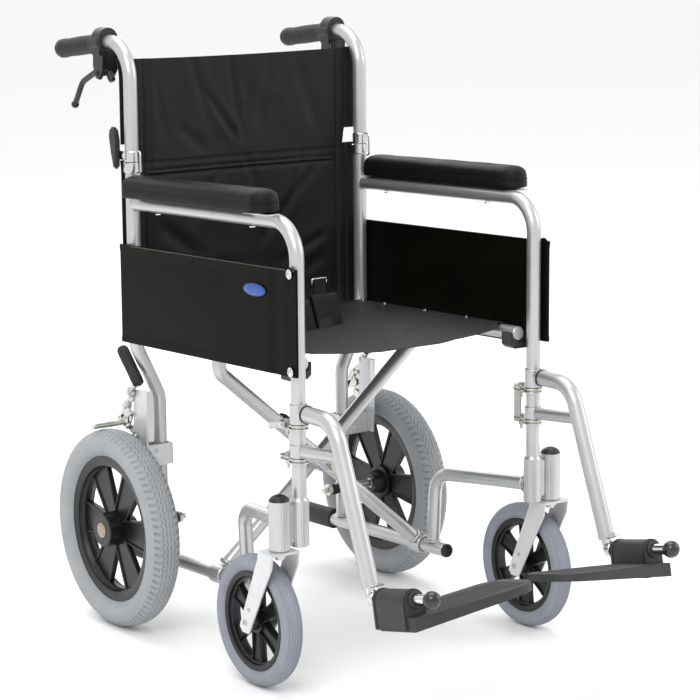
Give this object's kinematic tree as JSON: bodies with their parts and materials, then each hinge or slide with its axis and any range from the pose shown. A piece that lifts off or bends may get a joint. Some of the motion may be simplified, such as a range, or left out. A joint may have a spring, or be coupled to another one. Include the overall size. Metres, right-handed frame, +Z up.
{
  "type": "manual wheelchair",
  "caption": "Attendant-propelled folding wheelchair with fixed armrests, swing-away footrests, casters, hand brakes and a half-folding back.",
  "frame": {"origin": "on the floor, centre of the bounding box", "axes": "+Z up, the chair faces -Y, its left side is +X"},
  "size_m": [0.606, 1.004, 0.953],
  "materials": {
    "frame": "satin silver paint",
    "chrome": "polished",
    "zinc": "bright zinc plate",
    "rear_tyre": "matt grey rubber",
    "caster_tyre": "matt blue-grey rubber",
    "rim": "black moulded nylon",
    "nylon": "woven black nylon",
    "webbing": "black polyester webbing",
    "vinyl": "black vinyl",
    "panel": "smooth black sheet",
    "grip": "black rubber",
    "plastic": "black moulded",
    "grey_plastic": "dark grey moulded"
  },
  "bodies": {
    "right_frame": {"right_rear_post": "frame", "right_arm_and_front_post": "frame", "right_lower_frame": "frame", "right_tipping_rubber": "grip", "right_rear_axle": "zinc", "right_seat_saddle": "plastic", "right_arm_pad": "vinyl", "right_side_panel": "panel", "right_hanger_mount": "zinc", "right_brake_bracket": "zinc", "back_sling_lower": "nylon", "lap_belt": "webbing"},
    "right_upper_back": {"right_upper_cane": "frame", "right_push_grip": "grip", "right_hand_brake_housing": "plastic", "back_sling_upper": "nylon"},
    "right_back_release": {"right_back_release_paddle": "plastic"},
    "right_hand_brake": {"right_hand_brake_lever": "plastic"},
    "right_seat_half": {"right_seat_sling": "nylon"},
    "right_fork": {"right_caster_fork": "frame"},
    "right_hanger": {"right_hanger": "frame"},
    "right_hanger_latch": {"right_hanger_latch": "zinc"},
    "right_leg": {"right_leg_tube": "chrome"},
    "right_footplate": {"right_footplate": "grey_plastic"},
    "right_parking_lever": {"right_parking_brake_lever": "grip"},
    "right_brake_shoe": {"right_brake_shoe": "zinc"},
    "right_rear_wheel": {"right_rear_wheel_rim": "rim", "right_rear_tyre": "rear_tyre"},
    "right_caster_wheel": {"right_caster_rim": "rim", "right_caster_tyre": "caster_tyre"},
    "left_frame": {"left_rear_post": "frame", "left_arm_and_front_post": "frame", "left_lower_frame": "frame", "left_tipping_rubber": "grip", "left_rear_axle": "zinc", "left_seat_saddle": "plastic", "left_arm_pad": "vinyl", "left_side_panel": "panel", "left_hanger_mount": "zinc", "left_brake_bracket": "zinc"},
    "left_upper_back": {"left_upper_cane": "frame", "left_push_grip": "grip", "left_hand_brake_housing": "plastic"},
    "left_back_release": {"left_back_release_paddle": "plastic"},
    "left_hand_brake": {"left_hand_brake_lever": "plastic"},
    "left_seat_half": {"left_seat_sling": "nylon"},
    "left_fork": {"left_caster_fork": "frame"},
    "left_hanger": {"left_hanger": "frame"},
    "left_hanger_latch": {"left_hanger_latch": "zinc"},
    "left_leg": {"left_leg_tube": "chrome"},
    "left_footplate": {"left_footplate": "grey_plastic"},
    "left_parking_lever": {"left_parking_brake_lever": "grip"},
    "left_brake_shoe": {"left_brake_shoe": "zinc"},
    "left_rear_wheel": {"left_rear_wheel_rim": "rim", "left_rear_tyre": "rear_tyre"},
    "left_caster_wheel": {"left_caster_rim": "rim", "left_caster_tyre": "caster_tyre"},
    "bar_a": {"cross_bar_a": "frame"},
    "bar_b": {"cross_bar_b": "frame"}
  },
  "joints": [
    {"name": "chair_fold", "type": "hinge", "parent": "right_frame", "child": "bar_b", "pos_m": [-0.18, 0.0391, 0.109], "axis": [0, -0.9994, 0.0349], "range_deg": [0, 38], "deforming": ["back_sling_lower", "back_sling_upper", "lap_belt"]},
    {"name": "bar_pivot", "type": "hinge", "parent": "bar_b", "child": "bar_a", "pos_m": [0, 0.0901, 0.2648], "axis": [0, -0.9994, 0.0349], "range_deg": [-76, 0]},
    {"name": "left_frame_fold", "type": "hinge", "parent": "bar_a", "child": "left_frame", "pos_m": [0.18, 0.0391, 0.109], "axis": [0, -0.9994, 0.0349], "range_deg": [0, 38]},
    {"name": "right_seat_fold", "type": "hinge", "parent": "bar_a", "child": "right_seat_half", "pos_m": [-0.203, 0.0391, 0.48], "axis": [0, -0.9994, 0.0349], "range_deg": [0, 114]},
    {"name": "left_seat_fold", "type": "hinge", "parent": "bar_b", "child": "left_seat_half", "pos_m": [0.203, 0.0391, 0.48], "axis": [0, -0.9994, 0.0349], "range_deg": [-133, 0]},
    {"name": "right_back_fold", "type": "hinge", "parent": "right_frame", "child": "right_upper_back", "pos_m": [-0.221, 0.3011, 0.745], "axis": [-1, 0, 0], "range_deg": [0, 115]},
    {"name": "left_back_fold", "type": "hinge", "parent": "left_frame", "child": "left_upper_back", "pos_m": [0.221, 0.3011, 0.745], "axis": [-1, 0, 0], "range_deg": [0, 115]},
    {"name": "right_back_release", "type": "hinge", "parent": "right_upper_back", "child": "right_back_release", "pos_m": [-0.241, 0.2951, 0.752], "axis": [1, 0, 0], "range_deg": [0, 10], "stiffness_Nm_per_rad": 0.4},
    {"name": "right_hand_brake", "type": "hinge", "parent": "right_upper_back", "child": "right_hand_brake", "pos_m": [-0.221, 0.3631, 0.88], "axis": [1, 0, 0], "range_deg": [0, 16], "stiffness_Nm_per_rad": 1.5},
    {"name": "right_rear_wheel_spin", "type": "hinge", "parent": "right_frame", "child": "right_rear_wheel", "pos_m": [-0.264, 0.2821, 0.16], "axis": [1, 0, 0], "continuous": true},
    {"name": "right_caster_swivel", "type": "hinge", "parent": "right_frame", "child": "right_fork", "pos_m": [-0.257, -0.1709, 0.24], "axis": [0, 0, 1], "continuous": true},
    {"name": "right_caster_spin", "type": "hinge", "parent": "right_fork", "child": "right_caster_wheel", "pos_m": [-0.257, -0.1139, 0.1], "axis": [1, 0, 0], "continuous": true},
    {"name": "right_hanger_swing", "type": "hinge", "parent": "right_frame", "child": "right_hanger", "pos_m": [-0.221, -0.1709, 0.4], "axis": [0, 0, -1], "range_deg": [0, 90]},
    {"name": "right_hanger_latch", "type": "hinge", "parent": "right_frame", "child": "right_hanger_latch", "pos_m": [-0.232, -0.1509, 0.398], "axis": [1, 0, 0], "range_deg": [0, 15], "stiffness_Nm_per_rad": 0.4},
    {"name": "right_leg_length", "type": "slide", "parent": "right_hanger", "child": "right_leg", "axis": [0, -0.3629, -0.9318], "range_m": [-0.01, 0.08]},
    {"name": "right_footplate_flip", "type": "hinge", "parent": "right_leg", "child": "right_footplate", "pos_m": [-0.221, -0.3639, 0.184], "axis": [0, -0.9781, 0.2079], "range_deg": [0, 90]},
    {"name": "right_parking_brake", "type": "hinge", "parent": "right_frame", "child": "right_parking_lever", "pos_m": [-0.231, 0.2911, 0.376], "axis": [-1, 0, 0], "range_deg": [0, 50]},
    {"name": "right_brake_shoe_turn", "type": "hinge", "parent": "right_frame", "child": "right_brake_shoe", "pos_m": [-0.228, 0.3031, 0.352], "axis": [1, 0, 0], "range_deg": [0, 20]},
    {"name": "left_back_release", "type": "hinge", "parent": "left_upper_back", "child": "left_back_release", "pos_m": [0.241, 0.2951, 0.752], "axis": [1, 0, 0], "range_deg": [0, 10], "stiffness_Nm_per_rad": 0.4},
    {"name": "left_hand_brake", "type": "hinge", "parent": "left_upper_back", "child": "left_hand_brake", "pos_m": [0.221, 0.3631, 0.88], "axis": [1, 0, 0], "range_deg": [0, 16], "stiffness_Nm_per_rad": 1.5},
    {"name": "left_rear_wheel_spin", "type": "hinge", "parent": "left_frame", "child": "left_rear_wheel", "pos_m": [0.264, 0.2821, 0.16], "axis": [1, 0, 0], "continuous": true},
    {"name": "left_caster_swivel", "type": "hinge", "parent": "left_frame", "child": "left_fork", "pos_m": [0.257, -0.1709, 0.24], "axis": [0, 0, 1], "continuous": true},
    {"name": "left_caster_spin", "type": "hinge", "parent": "left_fork", "child": "left_caster_wheel", "pos_m": [0.257, -0.1139, 0.1], "axis": [1, 0, 0], "continuous": true},
    {"name": "left_hanger_swing", "type": "hinge", "parent": "left_frame", "child": "left_hanger", "pos_m": [0.221, -0.1709, 0.4], "axis": [0, 0, 1], "range_deg": [0, 90]},
    {"name": "left_hanger_latch", "type": "hinge", "parent": "left_frame", "child": "left_hanger_latch", "pos_m": [0.232, -0.1509, 0.398], "axis": [1, 0, 0], "range_deg": [0, 15], "stiffness_Nm_per_rad": 0.4},
    {"name": "left_leg_length", "type": "slide", "parent": "left_hanger", "child": "left_leg", "axis": [0, -0.3629, -0.9318], "range_m": [-0.01, 0.08]},
    {"name": "left_footplate_flip", "type": "hinge", "parent": "left_leg", "child": "left_footplate", "pos_m": [0.221, -0.3639, 0.184], "axis": [0, 0.9781, -0.2079], "range_deg": [0, 90]},
    {"name": "left_parking_brake", "type": "hinge", "parent": "left_frame", "child": "left_parking_lever", "pos_m": [0.231, 0.2911, 0.376], "axis": [-1, 0, 0], "range_deg": [0, 50]},
    {"name": "left_brake_shoe_turn", "type": "hinge", "parent": "left_frame", "child": "left_brake_shoe", "pos_m": [0.228, 0.3031, 0.352], "axis": [1, 0, 0], "range_deg": [0, 20]}
  ],
  "couplings": [
    {"joint": "bar_pivot", "follows": "chair_fold", "ratio": -2},
    {"joint": "left_frame_fold", "follows": "chair_fold", "ratio": 1},
    {"joint": "right_seat_fold", "follows": "chair_fold", "ratio": 3},
    {"joint": "left_seat_fold", "follows": "chair_fold", "ratio": -3.5},
    {"joint": "left_back_fold", "follows": "right_back_fold", "ratio": 1},
    {"joint": "right_footplate_flip", "follows": "chair_fold", "ratio": 2.3684},
    {"joint": "right_brake_shoe_turn", "follows": "right_parking_brake", "ratio": 0.4},
    {"joint": "left_footplate_flip", "follows": "chair_fold", "ratio": 2.3684},
    {"joint": "left_brake_shoe_turn", "follows": "left_parking_brake", "ratio": 0.4}
  ]
}
